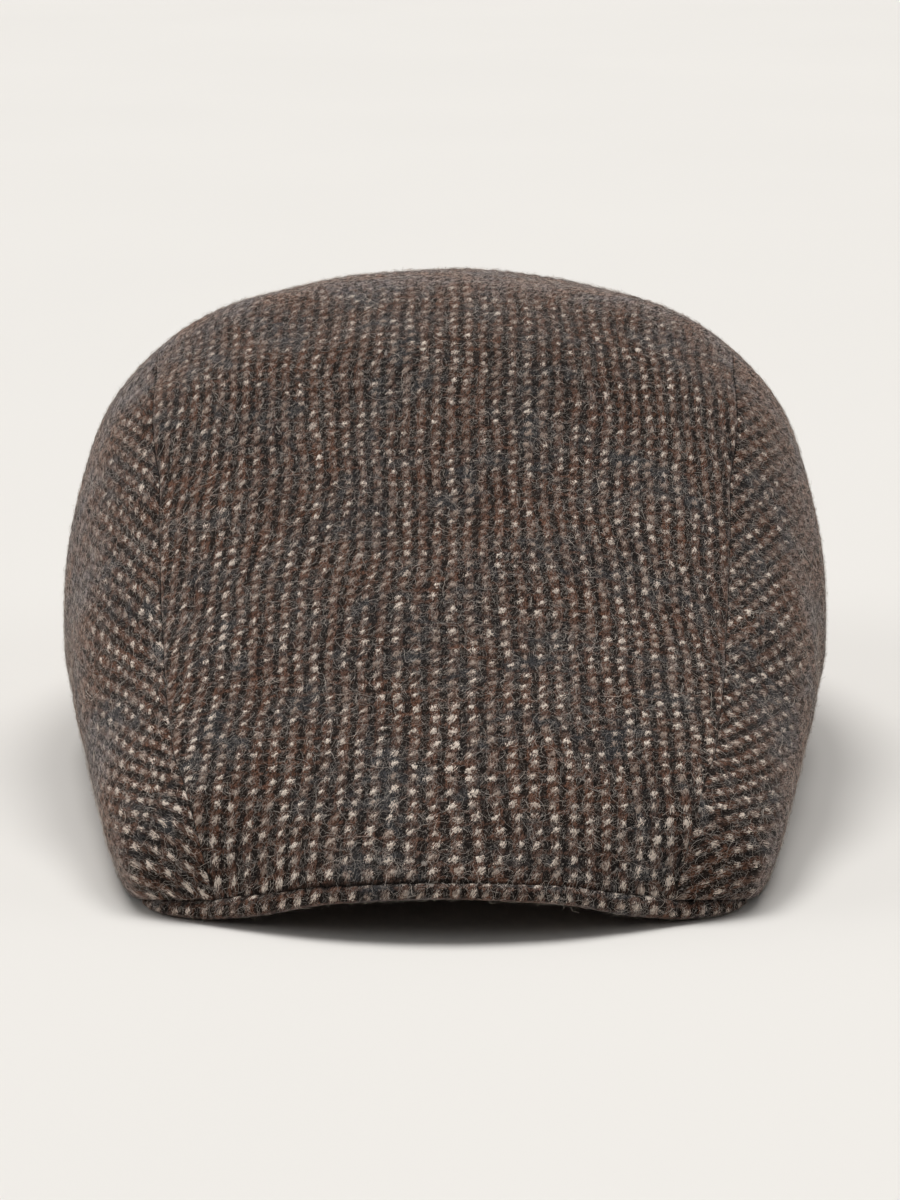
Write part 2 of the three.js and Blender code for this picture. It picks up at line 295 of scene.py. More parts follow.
# Where each mask begins and is complete, and its share at both where that isn't nought and one
MASKS = {
    "front rows": (24.0, 4.0),  # row numbers, towards the fold
    "beside": (0.18, 0.42),
    "between": (0.48, 0.2, 0.25, 1.0),
    "dark": (-0.1, 0.6),
    "cool": (0.03, 0.22),
    "shade": (0.36, 0.68, 0.2, 2.8),
    "warm": (-0.35, 0.35),
    "dull": (0.15, 0.9, 0.0, 0.66),
    "rusty": (0.35, 0.75),
    "pale": (0.645, 0.865),
    "specks": (0.62, 0.72, 0.0, 0.4),
    "cream": (0.36, 1.05),
    "breaks": (0.53, 0.62),
    "mat": (0.44, 0.6),
    "edge on": (0.32, 0.8, 0.0, 0.82),
    "lit fibre": (0.0, 0.3),
    "pale fibre": (0.8, 0.95),
    "floor grain": (0.2, 0.8, 0.985, 1.0),
}

# How much each cause adds to the brown bits, the pale bits, their paleness and the cloth's height
DULL = {"core": 0.5, "patch": 0.8}
PALE = {"core": 1.3, "cell": 0.45, "streak": 0.3, "patch": 0.9, "front": 0.07}
PALER_FRONT = 0.38
HEIGHT = {"wool": 0.6, "pale": 0.5, "core": 0.6, "lines": 0.3}

COOL_BY_WARM = -0.35  # how warm places lack slate
COOL_TINT = (0.95, 1.0, 1.05, 1.0)
WARM_TINT = (1.16, 0.97, 0.84, 1.0)
HUE_STEP = (17.0, 5.0, 0.0)  # steps to the cell from which a cell's hue is drawn

# Curled fibres drawn on the cloth: how fine each kind is in a cell and how wide its lines are
CURLS = ((1.2, 0.012), (1.9, 0.017), (3.0, 0.026))
CURL_FIELD = (1.0, 0.5, 0.6)  # octaves, roughness and distortion of the noise that they follow
CURL_STEP = (3.1, 1.7, 0.9)  # steps from one kind to the next
CURL_CORE = 0.3  # share of a line's width that is solid
CURL_BREAK = 0.7  # how fine the noise is that breaks them, as a share of their own
VEIL = 0.5  # how far drawn fibres hide the weave
MAT_VEIL = 0.5  # how far they hide matted fibres, as a share of that
MAT_DARK = 0.5  # how dark the ground is between matted fibres
WEAVE_COLOURS = ("Cream", "Tan", "Rust", "Charcoal", "Brown", "Slate", "Fibre", "Sheen_haze")

# Finishes: roughness and sheen
TWEED_FINISH = (0.92, 0.24)
FIBRE_FINISH = (0.8, 0.4)
FLOOR_FINISH = (0.9, 0.0)
SPECULAR = 0.12
SHEEN_ROUGHNESS = 0.22
BUMP_STRENGTH = 0.8
BUMP_DEPTH = 0.0005
# How far painted shade darkens edges, seams and the front fold towards charcoal
CREASE_SHADE = 0.75
FLOOR_GRAIN = 3.0  # how fine the floor's grain is in a metre

# Stage
FLOOR_HALF = 6.0
LENS = 85.17
SENSOR = 36.0
LIGHT_COLOUR = (1.0, 0.985, 0.965)
SKY_MIDDLE = (0.0, 0.42, 0.907)  # direction of the brightest sky
SKY_BAND = (0.1, 0.9)  # nearness to it at which the sky is darkest and brightest
SKY_DARKEST = 0.15
SKY_SEEN = 0.835  # brightness of the plain sky behind the cap


def mix(low, high, share):
    return low + (high - low) * share


def unit(vectors):
    return vectors / np.maximum(np.linalg.norm(vectors, axis=-1, keepdims=True), TINY)


def rim(column, azimuth):
    """A column of the rim's table, at an azimuth on either side."""
    return RIM[column](np.abs((azimuth + 180) % 360 - 180))


def plan(azimuth, distance):
    """Plan coordinates at an azimuth from the front and a distance from the origin."""
    turn = np.radians(azimuth)
    return np.stack([distance * np.sin(turn), -distance * np.cos(turn)], -1)


def crown_top(place):
    """The crown's outer face above the widest outline, over plan points."""
    x, y = place[..., 0], place[..., 1]
    azimuth = np.degrees(np.arctan2(x, -y))
    share = np.minimum(1, np.hypot(x, y) / rim("reach", azimuth))
    bulge = rim("bulge", azimuth)
    roof = ROOF["ridge"](y) - ROOF["fall"](y) * (x / ARCH_OUT) ** 2
    turn = (1 - share ** rim("power", azimuth)) ** (1 / rim("root", azimuth))
    return np.stack([x, y, bulge + (roof - bulge) * turn], -1)


def crown_under(azimuth, down):
    """The crown's outer face from the widest outline (down = 0) to the hem (down = 1)."""
    distance = rim("reach", azimuth) - rim("inset", azimuth) * down * down
    height = mix(rim("bulge", azimuth), rim("hem", azimuth), down)
    return np.concatenate([plan(azimuth, distance), height[..., None]], -1)


def lengths(line):
    """Distances from a line's start to each of its points."""
    steps = np.linalg.norm(np.diff(line, axis=0), axis=1)
    return np.concatenate([[0.0], np.cumsum(steps)])


def evenly(line, count, trim_start, trim_end):
    """Points at even distances along a finely divided line, short of its ends."""
    along = lengths(line)
    spare = min(1.0, TRIM_MOST * along[-1] / max(trim_start + trim_end, TINY))
    wanted = np.linspace(trim_start * spare, along[-1] - trim_end * spare, count + 1)
    return np.stack([np.interp(wanted, along, line[:, k]) for k in range(3)], -1)


def centre_line(across, trim):
    """A line of the centre panel from the front fold over the top to the back hem; across is -1 to 1."""
    share = 1 - (1 - np.linspace(0, 1, FINE_STEPS)) ** 2
    azimuth = mix(SEAM_FRONT, SEAM_BACK, share)
    seam = plan(azimuth, rim("reach", azimuth) * SEAM["share"](azimuth))
    place = seam * (across, 1)

    # The panel's ends bow out to the rim
    back = 180 - (180 - SEAM_BACK) * across
    front_bow = plan(SEAM_FRONT * across, rim("reach", SEAM_FRONT * across)) - place[0]
    back_bow = plan(back, rim("reach", back)) - place[-1]
    place = place + front_bow * (np.maximum(0, 1 - share / END_SHARE) ** 2)[:, None]
    place = place + back_bow * (np.maximum(0, 1 - (1 - share) / END_SHARE) ** 2)[:, None]
    down = np.linspace(0, 1, UNDER_STEPS)[1:]
    line = np.concatenate([crown_top(place), crown_under(np.full(len(down), back), down)])
    return evenly(line, CENTRE_ROWS, trim, trim)


def side_line(azimuth, hem_trim, seam_trim):
    """A line of the left side panel from the hem up to the seam."""
    reach = rim("reach", azimuth)
    down = np.linspace(1, 0, UNDER_STEPS)
    up = np.linspace(0, 1, FINE_STEPS)[1:] ** 2
    place = plan(np.full(len(up), azimuth), reach * mix(1.0, SEAM["share"](azimuth), up))
    line = np.concatenate([crown_under(np.full(len(down), azimuth), down), crown_top(place)])
    return evenly(line, SIDE_ROWS, hem_trim, seam_trim)


def grid_normals(points):
    """Outward normals of a grid whose columns run to the right where its rows run up, seen from outside."""
    up = np.gradient(points, axis=0)
    right = np.gradient(points, axis=1)
    return unit(np.cross(right, up))


def waves(coordinates, seed, count, span, depth):
    """A sum of seeded waves of random direction over coordinates of any number of columns."""
    chance = np.random.default_rng(seed)
    total = np.zeros(coordinates.shape[:-1])
    for _ in range(count):
        direction = unit(chance.normal(size=coordinates.shape[-1]))
        turn = 2 * math.pi / chance.uniform(*span)
        total += np.sin(coordinates @ direction * turn + chance.uniform(0, 2 * math.pi))
    return total * depth


def swell(points):
    """How far the soft cloth rises and sinks."""
    return waves(points, SEED, SWELL_COUNT, SWELL_WAVES, SWELL_DEPTH)


def wander(points, seed):
    """How far the weave's threads stray from their course, in cells."""
    return waves(points, seed, WANDER_COUNT, WANDER_WAVES, WANDER_DEPTH)


def centre_weave(points, columns, rows):
    """Column and row numbers of the weave on the centre panel."""
    middle = points.shape[1] // 2
    steps = np.linalg.norm(np.diff(points, axis=1), axis=2)
    out = np.concatenate([np.zeros((len(points), 1)), np.cumsum(steps, axis=1)], 1)
    out = out - out[:, [middle]]
    x, y = points[..., 0], points[..., 1]
    pulled = LAY["stretch"](y) * STRETCH_OUT * np.tanh(out / STRETCH_OUT)

    # Rows follow the plan on the front and the top, and the panel's length down the back
    spine = points[:, middle]
    along = lengths(spine)
    rising = np.argmax(spine[:, 1]) + 1
    flat = y - LAY["bow"](y) * (x / ARCH_OUT) ** 2
    beyond = np.minimum(flat - spine[0, 1], 0)
    by_plan = np.interp(flat, spine[:rising, 1], along[:rising]) + beyond
    share = np.clip((y - LAY_TURN[0]) / (LAY_TURN[1] - LAY_TURN[0]), 0, 1)
    share[rising:] = 1
    row_length = mix(by_plan, along[:, None], share * share * (3 - 2 * share))
    u = (out - pulled) / columns + wander(points, SEED + 1)
    v = row_length / rows + wander(points, SEED + 2)
    return u, v


def side_weave(points, columns, rows):
    """Column and row numbers of the weave on the left side panel, whose columns lie level at SIDE_LEVEL."""
    normals = grid_normals(points)
    level = unit(np.stack([-normals[..., 1], normals[..., 0], np.zeros(normals.shape[:2])], -1))
    upward = np.cross(normals, level)

    # How far each point lies back and up from its column's start, along the cloth
    steps = np.diff(points, axis=0)
    none = np.zeros((1, points.shape[1]))
    back = np.concatenate([none, np.cumsum(np.sum(steps * level[1:], 2), axis=0)])
    rise = np.concatenate([none, np.cumsum(np.sum(steps * upward[1:], 2), axis=0)])

    # Backward lengths start at a middle height, and upward ones at SIDE_LEVEL, even above a lower column
    start = np.empty((points.shape[1], 3))
    ahead = np.empty((points.shape[1], 3))
    for j, height in enumerate(points[..., 2].T):
        middle = min(SIDE_LEVEL, SIDE_MIDDLE * height[-1])
        for k in range(3):
            start[j, k] = np.interp(middle, height, points[:, j, k])
            ahead[j, k] = np.interp(middle, height, level[:, j, k])
        back[:, j] -= np.interp(middle, height, back[:, j])
        steep = max(np.interp(SIDE_LEVEL, height, upward[:, j, 2]), STEEP_LEAST)
        rise[:, j] -= np.interp(SIDE_LEVEL, height, rise[:, j])
        rise[:, j] -= max(0.0, SIDE_LEVEL - height[-1]) / steep
    along = np.concatenate([[0.0], np.cumsum(np.sum(np.diff(start, axis=0) * ahead[1:], 1))])
    u = rise / (columns * SIDE_STRETCH[0])
    v = -(back + along) / (rows * SIDE_STRETCH[1])
    return u + wander(points, SEED + 3), v + wander(points, SEED + 4)


def weave_relief(u, v):
    """Height of the cloth over its weave: ridges along the pale columns, higher at each float."""
    column = 0.5 - 0.5 * np.cos(2 * math.pi * u)
    row = 0.5 - 0.5 * np.cos(2 * math.pi * v)
    return column * mix(RIDGE_SHARE, 1.0, row)


def seam_shape(points, from_seam):
    """How the cloth dips and puckers towards a seam that lies from_seam away."""
    dip = -SEAM_DIP * np.exp(-((from_seam / SEAM_DIP_WIDTH) ** 2))
    along = points[..., 1]
    stray = PUCKER_STRAY * np.sin(along / PUCKER_STRAY_SPAN)
    pucker = np.sin(2 * math.pi * along / PUCKER_WAVE + stray)
    return dip + PUCKER_DEPTH * pucker * np.exp(-from_seam / PUCKER_WIDTH)


def border(rows, columns):
    """Row and column numbers once round a grid, anticlockwise seen from outside."""
    bottom = [(0, j) for j in range(columns - 1)]
    right = [(i, columns - 1) for i in range(rows - 1)]
    top = [(rows - 1, j) for j in range(columns - 1, 0, -1)]
    left = [(i, 0) for i in range(rows - 1, 0, -1)]
    return np.array(bottom + right + top + left)


def grid_faces(rows, columns, first, outward=True):
    """Faces between the points of a grid that are numbered from first on."""
    at = first + np.arange(rows * columns).reshape(rows, columns)
    corners = [at[:-1, :-1], at[:-1, 1:], at[1:, 1:], at[1:, :-1]]
    if not outward:
        corners.reverse()
    return np.stack([c.ravel() for c in corners], -1)


class Cloth:
    """A panel's outer face as a grid: smooth points, normals, woven points and the weave's numbers."""

    def __init__(self, flat, normals, points, uv):
        self.flat = flat
        self.normals = normals
        self.points = points
        self.uv = uv

    @classmethod
    def raised(cls, flat, height, u, v):
        """A panel whose woven points stand off its smooth ones by a height."""
        normals = grid_normals(flat)
        return cls(flat, normals, flat + normals * height[..., None], np.stack([u, v], -1))

    def nose(self):
        """Only the rows round a peak's nose."""
        rows = slice(PEAK_FLAT_STEPS, PEAK_FLAT_STEPS + PEAK_NOSE_STEPS + 1)
        return Cloth(self.flat[rows], self.normals[rows], self.points[rows], self.uv[rows])

    def mirrored(self):
        """The same panel on the cap's other side."""
        places = [grid[:, ::-1] * (-1.0, 1.0, 1.0) for grid in (self.flat, self.normals, self.points)]
        return Cloth(*places, self.uv[:, ::-1] * (-1.0, 1.0))


def shell(cloth, sizes, fold, folded_rows, shaded_folds):
    """Points, faces, weave numbers and painted crease shade of a closed panel, whose inside is half as
    fine.

    Its edges bulge a little, and its folded rows by fold. Its edges are marked for painted crease shade,
    and its folded rows only with shaded_folds.
    """
    wall = sizes.wall / MM
    rows, columns = cloth.points.shape[:2]
    loop = border(rows, columns)
    i, j = loop.T
    edge = cloth.points[i, j]
    normal = cloth.normals[i, j]
    back_i = np.clip(i, 1, rows - 2)
    back_j = np.clip(j, 1, columns - 2)
    out = edge - cloth.points[back_i, back_j]
    out_uv = cloth.uv[i, j] - cloth.uv[back_i, back_j]
    step = np.linalg.norm(out, axis=1, keepdims=True)
    out = unit(out - normal * np.sum(out * normal, 1, keepdims=True))
    folded = np.isin(i, folded_rows)
    bulge = np.where(folded, fold / MM, sizes.seam_rounding / MM)[:, None]
    # Painted shade: the rings round every edge are marked to darken like a shaded crease, folded rows only
    # with shaded_folds
    dark = np.where(folded, float(shaded_folds), 1.0)

    # Rings round the edge, from the outer face to the inside
    middle = (edge + cloth.flat[i, j] - normal * wall) / 2
    inner = (cloth.flat - cloth.normals * wall)[::2, ::2]
    points = [cloth.points.reshape(-1, 3)]
    crease = [np.zeros(rows * columns)]
    weave = [cloth.uv.reshape(-1, 2)]
    faces = [grid_faces(rows, columns, 0)]
    ring = i * columns + j
    for k in range(1, EDGE_RINGS):
        turn = math.pi * k / EDGE_RINGS
        first = sum(map(len, points))
        points.append(middle + (edge - middle) * math.cos(turn) + out * bulge * math.sin(turn))
        weave.append(cloth.uv[i, j] + out_uv * (bulge * turn / np.maximum(step, TINY)))
        crease.append(dark)
        following = first + np.arange(len(loop))
        faces.append(np.stack([ring, following, np.roll(following, -1), np.roll(ring, -1)], -1))
        ring = following

    # The inside, joined to the last ring by three triangles at each of its edges
    first = sum(map(len, points))
    points.append(inner.reshape(-1, 3))
    weave.append(cloth.uv[::2, ::2].reshape(-1, 2))
    crease.append(np.zeros(inner.shape[0] * inner.shape[1]))
    inner_rows, inner_columns = inner.shape[:2]
    faces.append(grid_faces(inner_rows, inner_columns, first, outward=False))
    inner_loop = border(inner_rows, inner_columns)
    near = first + inner_loop[:, 0] * inner_columns + inner_loop[:, 1]
    start, half, end = ring[0::2], ring[1::2], np.roll(ring[0::2], -1)
    after = np.roll(near, -1)
    corners = [(start, near, half), (half, near, after), (half, after, end)]
    faces += [np.stack(c, -1) for c in corners]
    points = np.concatenate(points)
    points[:, 2] = np.maximum(points[:, 2], 0.0)
    return points, faces, np.concatenate(weave), {"crease": np.concatenate(crease)}


def new_piece(name, points, faces, weave, marks, material):
    """A smooth mesh from points in millimetres, with the weave's numbers as UV map and marks by name."""
    mesh = bpy.data.meshes.new(name)
    mesh.from_pydata(points * MM, [], [face for group in faces for face in group.tolist()])
    mesh.shade_smooth()
    if weave is not None:
        corner = np.empty(len(mesh.loops), np.int32)
        mesh.loops.foreach_get("vertex_index", corner)
        layer = mesh.uv_layers.new(name="Weave")
        layer.uv.foreach_set("vector", weave[corner].astype(np.float32).ravel())
    for mark, values in marks.items():
        layer = mesh.attributes.new(mark, "FLOAT", "POINT")
        layer.data.foreach_set("value", values.astype(np.float32))
    mesh.materials.append(material)
    piece = bpy.data.objects.new(name, mesh)
    bpy.context.scene.collection.objects.link(piece)
    return piece


def settle(piece, slot, *nodes):
    """Fixes a piece to the cap and hides the parts that it stands for."""
    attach(piece, BODY)
    if nodes:
        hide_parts(*nodes)


# The pieces' cloth


def crown_cloth(points, uv, height, from_seam, relief):
    """A crown panel from its smooth points: it dips and puckers at its seams, where the weave is flat."""
    calm = 1 - np.exp(-((from_seam / SEAM_CALM) ** 2))
    height = height + seam_shape(points, from_seam)
    return Cloth.raised(points, height + weave_relief(*uv) * relief / MM * calm, *uv)


def centre_cloth(sizes):
    """The centre panel."""
    seam = rim("reach", STRAIGHT_ASIDE) * SEAM["share"](STRAIGHT_ASIDE)
    edge = 1 - (sizes.seam_rounding + sizes.seam_gap / 2) / MM / seam
    across = np.linspace(-edge, edge, CENTRE_COLUMNS + 1)
    points = np.stack([centre_line(a, sizes.fold_rounding / MM) for a in across], 1)
    uv = centre_weave(points, sizes.column_pitch / MM, sizes.row_pitch / MM)
    half_width = np.abs(points[:, [-1], 0])
    from_seam = (1 - np.abs(across))[None, :] * half_width
    alike = np.concatenate([np.abs(points[..., :1]), points[..., 1:]], -1)
    height = mix(swell(points), swell(alike), np.exp(-((from_seam / SWELL_MATCH) ** 2)))
    return crown_cloth(points, uv, height, from_seam, sizes.relief)


def side_cloth(sizes):
    """The left side panel."""
    trim = (sizes.seam_rounding + sizes.seam_gap / 2) / MM
    azimuth = np.linspace(SEAM_FRONT, SEAM_BACK, FINE_STEPS)
    seam = crown_top(plan(azimuth, rim("reach", azimuth) * SEAM["share"](azimuth)))
    along = lengths(seam)
    azimuths = np.interp(np.linspace(0, along[-1], SIDE_COLUMNS + 1), along, azimuth)
    turn = math.degrees(trim / rim("reach", SEAM_BACK))
    azimuths = np.clip(azimuths, SEAM_FRONT + SIDE_TIP, SEAM_BACK - turn)
    azimuths = mix(azimuths, np.linspace(azimuths[0], azimuths[-1], SIDE_COLUMNS + 1), SIDE_EVEN)
    points = np.stack([side_line(a, sizes.hem_rounding / MM, trim) for a in azimuths], 1)
    uv = side_weave(points, sizes.column_pitch / MM, sizes.row_pitch / MM)
    rise = np.linalg.norm(np.diff(points, axis=0), axis=2).sum(0)
    from_seam = np.linspace(1, 0, SIDE_ROWS + 1)[:, None] * rise
    return crown_cloth(points, uv, swell(points), from_seam, sizes.relief)


def head_reach(azimuth):
    """Where a line from the origin meets the head's oval."""
    turn = np.radians(azimuth)
    x = np.sin(turn) / HEAD_HALF_WIDTH
    y = -np.cos(turn) / HEAD_HALF_LENGTH
    offset = HEAD_CENTRE / HEAD_HALF_LENGTH
    a = x * x + y * y
    b = -y * offset
    return (-b + np.sqrt(b * b - a * (offset * offset - 1))) / a


def peak_cloth(sizes):
    """The peak's covered face: a column for each azimuth, with rows from the head's edge round the nose."""
    azimuth = np.linspace(-PEAK_END, PEAK_END, PEAK_STATIONS + 1)
    at = {name: curve(np.abs(azimuth)) for name, curve in PEAK.items()}
    nose = rim("reach", azimuth) - rim("inset", azimuth) + at["lead"]
    radius = (at["thick"] + at["tuck"]) / 2
    back = head_reach(azimuth)
    centre = nose - radius
    rise = at["edge"] + PEAK_SLOPE * (centre - back)

    # Rows along the lower side, round the nose and back along the upper side
    flat = np.linspace(0, 1, PEAK_FLAT_STEPS, endpoint=False)[:, None]
    angle = np.linspace(-math.pi / 2, math.pi / 2, PEAK_NOSE_STEPS + 1)[:, None]
    distance = [mix(back, centre, flat), centre + radius * np.cos(angle), mix(back, centre, flat)[::-1]]
    height = [
        mix(rise, at["edge"], flat),
        at["edge"] + radius * (1 + np.sin(angle)),
        mix(rise, at["edge"], flat)[::-1] + 2 * radius,
    ]
    distance = np.concatenate(distance)
    height = np.concatenate(height)
    points = np.concatenate([plan(azimuth[None, :], distance), height[..., None]], -1)

    # The weave is counted from the middle of the peak's edge
    front = PEAK_FLAT_STEPS + PEAK_NOSE_STEPS // 2
    u = lengths(points[front])
    u = (u - u[PEAK_STATIONS // 2]) / (sizes.column_pitch / MM)
    steps = np.linalg.norm(np.diff(points, axis=0), axis=2)
    v = np.concatenate([np.zeros((1, len(azimuth))), np.cumsum(steps, axis=0)], 0)
    v = (v - v[front]) / (sizes.row_pitch / MM) + PEAK_ROW
    u = np.broadcast_to(u, v.shape) + wander(points, SEED + 5)
    return Cloth.raised(points, weave_relief(u, v) * sizes.relief / MM * PEAK_RELIEF_SHARE, u, v)


def peak_shell(cloth):
    """Points, faces and weave numbers of the peak, closed behind and at its two ends, and no marks."""
    rows, columns = cloth.points.shape[:2]
    at = np.arange(rows * columns).reshape(rows, columns)
    faces = [grid_faces(rows, columns, 0)]
    faces.append(np.stack([at[-1, :-1], at[-1, 1:], at[0, 1:], at[0, :-1]], -1))
    faces.append(at[::-1, 0][None, :])
    faces.append(at[:, -1][None, :])
    return cloth.points.reshape(-1, 3), faces, cloth.uv.reshape(-1, 2), {}


# Stray fibres


def spread_spots(cloth, count, chance):
    """Random spots, evenly by area: places, normals, two directions along the cloth, and its whole area."""
    points = cloth.points
    up = points[1:, :-1] - points[:-1, :-1]
    right = points[:-1, 1:] - points[:-1, :-1]
    area = np.linalg.norm(np.cross(right, up), axis=2)
    cell = chance.choice(area.size, count, p=(area / area.sum()).ravel())
    i, j = np.divmod(cell, area.shape[1])
    s, t = chance.random((2, count, 1))
    low = mix(points[i, j], points[i, j + 1], s)
    high = mix(points[i + 1, j], points[i + 1, j + 1], s)
    normal = cloth.normals[i, j]
    first = unit(right[i, j])
    return mix(low, high, t), normal, first, np.cross(normal, first), area.sum()


def fibre_strips(cloth, kind, width, seed):
    """Points, faces and tones of curled wool fibres over a panel, each one a tapered strip."""
    chance = np.random.default_rng(seed)
    area = spread_spots(cloth, 1, chance)[4]
    count = int(kind["density"] * area / CM2)
    place, normal, first, second, _ = spread_spots(cloth, count, chance)
    knots = kind["segments"] + 1
    length = chance.lognormal(math.log(kind["length"]), FIBRE_SPREAD, count)
    length = np.clip(length, *FIBRE_LENGTHS)
    share = np.linspace(0, 1, knots)

    # Paths that wander over the cloth, with their middles above their spots
    turn = chance.uniform(0, 2 * math.pi, count)[:, None]
    curl = chance.normal(0, FIBRE_CURL, count)[:, None] + chance.normal(0, FIBRE_KINK, (count, knots))
    heading = turn + curl * (share - 0.5)
    step = (length / kind["segments"])[:, None]
    ahead = np.cumsum(np.cos(heading) * step, 1)
    aside = np.cumsum(np.sin(heading) * step, 1)
    lift = np.abs(chance.normal(0, kind["lift"], count))[:, None]
    free = chance.random(count)[:, None] < kind["free"]
    rise = np.where(free, share**FIBRE_RISE, np.sin(math.pi * share)) * lift + width
    path = place[:, None] + ahead[..., None] * first[:, None] + aside[..., None] * second[:, None]
    path = path - (path[:, [knots // 2]] - place[:, None]) + normal[:, None] * rise[..., None]

    # Strips along the paths, tilted about them and narrower at the ends
    tangent = unit(np.gradient(path, axis=1))
    tilt = chance.uniform(-FIBRE_TILT, FIBRE_TILT, count)[:, None, None]
    flat = unit(np.cross(tangent, normal[:, None]))
    wide = flat * np.cos(tilt) + np.cross(tangent, flat) * np.sin(tilt)
    thick = chance.uniform(*FIBRE_WIDTHS, count)[:, None] * (width / 2)
    wide = wide * (thick * mix(FIBRE_TIP, 1.0, np.sin(math.pi * share)))[..., None]
    points = np.stack([path - wide, path + wide], 2)
    points[..., 2] = np.maximum(points[..., 2], FIBRE_FLOOR)
    at = np.arange(count * knots * 2).reshape(count, knots, 2)
    faces = np.stack([at[:, :-1, 0], at[:, :-1, 1], at[:, 1:, 1], at[:, 1:, 0]], -1).reshape(-1, 4)
    tone = np.repeat(chance.random(count), knots * 2)
    return points.reshape(-1, 3), faces, tone


def new_fibres(name, cloth, kind, width, seed, material):
    """A piece of one kind of stray fibres over a panel."""
    points, faces, tone = fibre_strips(cloth, kind, width, seed)
    return new_piece(name, points, [faces], None, {"tone": tone}, material)


# Materials


class Graph:
    """Short ways to add nodes to a tree and join them."""

    def __init__(self, tree):
        self.tree = tree

    def put(self, socket, value):
        if isinstance(value, bpy.types.NodeSocket):
            self.tree.links.new(value, socket)
        else:
            socket.default_value = value

    def add(self, kind, values=None, **settings):
        node = self.tree.nodes.new(kind)
        for name, value in settings.items():
            setattr(node, name, value)
        for name, value in (values or {}).items():
            self.put(node.inputs[name], value)
        return node

    def maths(self, operation, *values, clamp=False):
        node = self.add("ShaderNodeMath", operation=operation, use_clamp=clamp)
        for socket, value in zip(node.inputs, values):
            self.put(socket, value)
        return node.outputs[0]

    def vectors(self, operation, *values):
        node = self.add("ShaderNodeVectorMath", operation=operation)
        for socket, value in zip(node.inputs, values):
            self.put(socket, value)
        number = operation in ("DOT_PRODUCT", "LENGTH")
        return node.outputs["Value" if number else "Vector"]

    def scaled(self, vector, scale):
        node = self.add("ShaderNodeVectorMath", operation="SCALE")
        self.put(node.inputs[0], vector)
        self.put(node.inputs["Scale"], scale)
        return node.outputs["Vector"]

    def turned(self, vector, first, second):
        """The vector measured along two directions."""
        x = self.vectors("DOT_PRODUCT", vector, first)
        y = self.vectors("DOT_PRODUCT", vector, second)
        return self.add("ShaderNodeCombineXYZ", {"X": x, "Y": y}).outputs["Vector"]

    def noise(self, vector, scale, detail=2.0, roughness=0.5, distortion=0.0):
        values = {"Vector": vector, "Scale": scale, "Detail": detail}
        values.update({"Roughness": roughness, "Distortion": distortion})
        return self.add("ShaderNodeTexNoise", values).outputs

    def chance(self, vector):
        node = self.add("ShaderNodeTexWhiteNoise", {"Vector": vector}, noise_dimensions="2D")
        return self.add("ShaderNodeSeparateColor", {"Color": node.outputs["Color"]}).outputs

    def ease(self, value, low, high, start=0.0, end=1.0):
        values = {"Value": value, "From Min": low, "From Max": high, "To Min": start, "To Max": end}
        return self.add("ShaderNodeMapRange", values, interpolation_type="SMOOTHSTEP").outputs["Result"]

    def blend(self, share, first, second, kind="MIX"):
        node = self.add("ShaderNodeMix", data_type="RGBA", blend_type=kind)
        self.put(node.inputs[0], share)
        self.put(node.inputs[6], first)
        self.put(node.inputs[7], second)
        return node.outputs[2]


def mask(g, name, value):
    """A smooth step, named in the table of masks."""
    return g.ease(value, *MASKS[name])


def field(g, name, place):
    """Plain noise, named in its table."""
    return g.noise(place, *FIELDS[name])["Fac"]


def spread(g, name, place):
    """Noise about nought, named in its table."""
    offset, fineness, strength, octaves = SPREADS[name]
    moved = g.vectors("ADD", place, offset)
    value = g.noise(moved, fineness, octaves, SPREAD_ROUGHNESS, SPREAD_DISTORTION)["Fac"]
    return g.maths("MULTIPLY", g.maths("SUBTRACT", value, 0.5), strength)


def cluster(g, inside, stray):
    """One in the middle of a leaning oval in each cell, nought at its edge and less beyond."""
    cos, sin = math.cos(CLUSTER_LEAN), math.sin(CLUSTER_LEAN)
    across = (cos / CLUSTER_HALF[0], -sin / CLUSTER_HALF[0], 0.0)
    along = (sin / CLUSTER_HALF[1], cos / CLUSTER_HALF[1], 0.0)
    place = g.turned(g.vectors("SUBTRACT", inside, stray), across, along)
    return g.maths("SUBTRACT", 1.0, g.vectors("LENGTH", place))


def lying(g, place):
    """The weave's coordinates drawn out so that noise over them lies along the bits' lean."""
    cos, sin = math.cos(BITS_LEAN), math.sin(BITS_LEAN)
    along = (CELL_SHAPE * cos * BITS_SHAPE[0], sin * BITS_SHAPE[0], 0.0)
    across = (-CELL_SHAPE * sin * BITS_SHAPE[1], cos * BITS_SHAPE[1], 0.0)
    return g.turned(place, along, across)


def curls(g, place):
    """Thin wandering lines, like curled stray fibres, broken into short lengths."""
    lines = 0.0
    for number, (fineness, width) in enumerate(CURLS, 1):
        moved = g.vectors("ADD", place, tuple(number * step for step in CURL_STEP))
        away = g.maths("SUBTRACT", g.noise(moved, fineness, *CURL_FIELD)["Fac"], 0.5)
        line = g.ease(g.maths("ABSOLUTE", away), width, width * CURL_CORE)
        breaks = mask(g, "breaks", g.noise(moved, fineness * CURL_BREAK)["Fac"])
        lines = g.maths("MAXIMUM", g.maths("MULTIPLY", line, breaks), lines)
    return lines


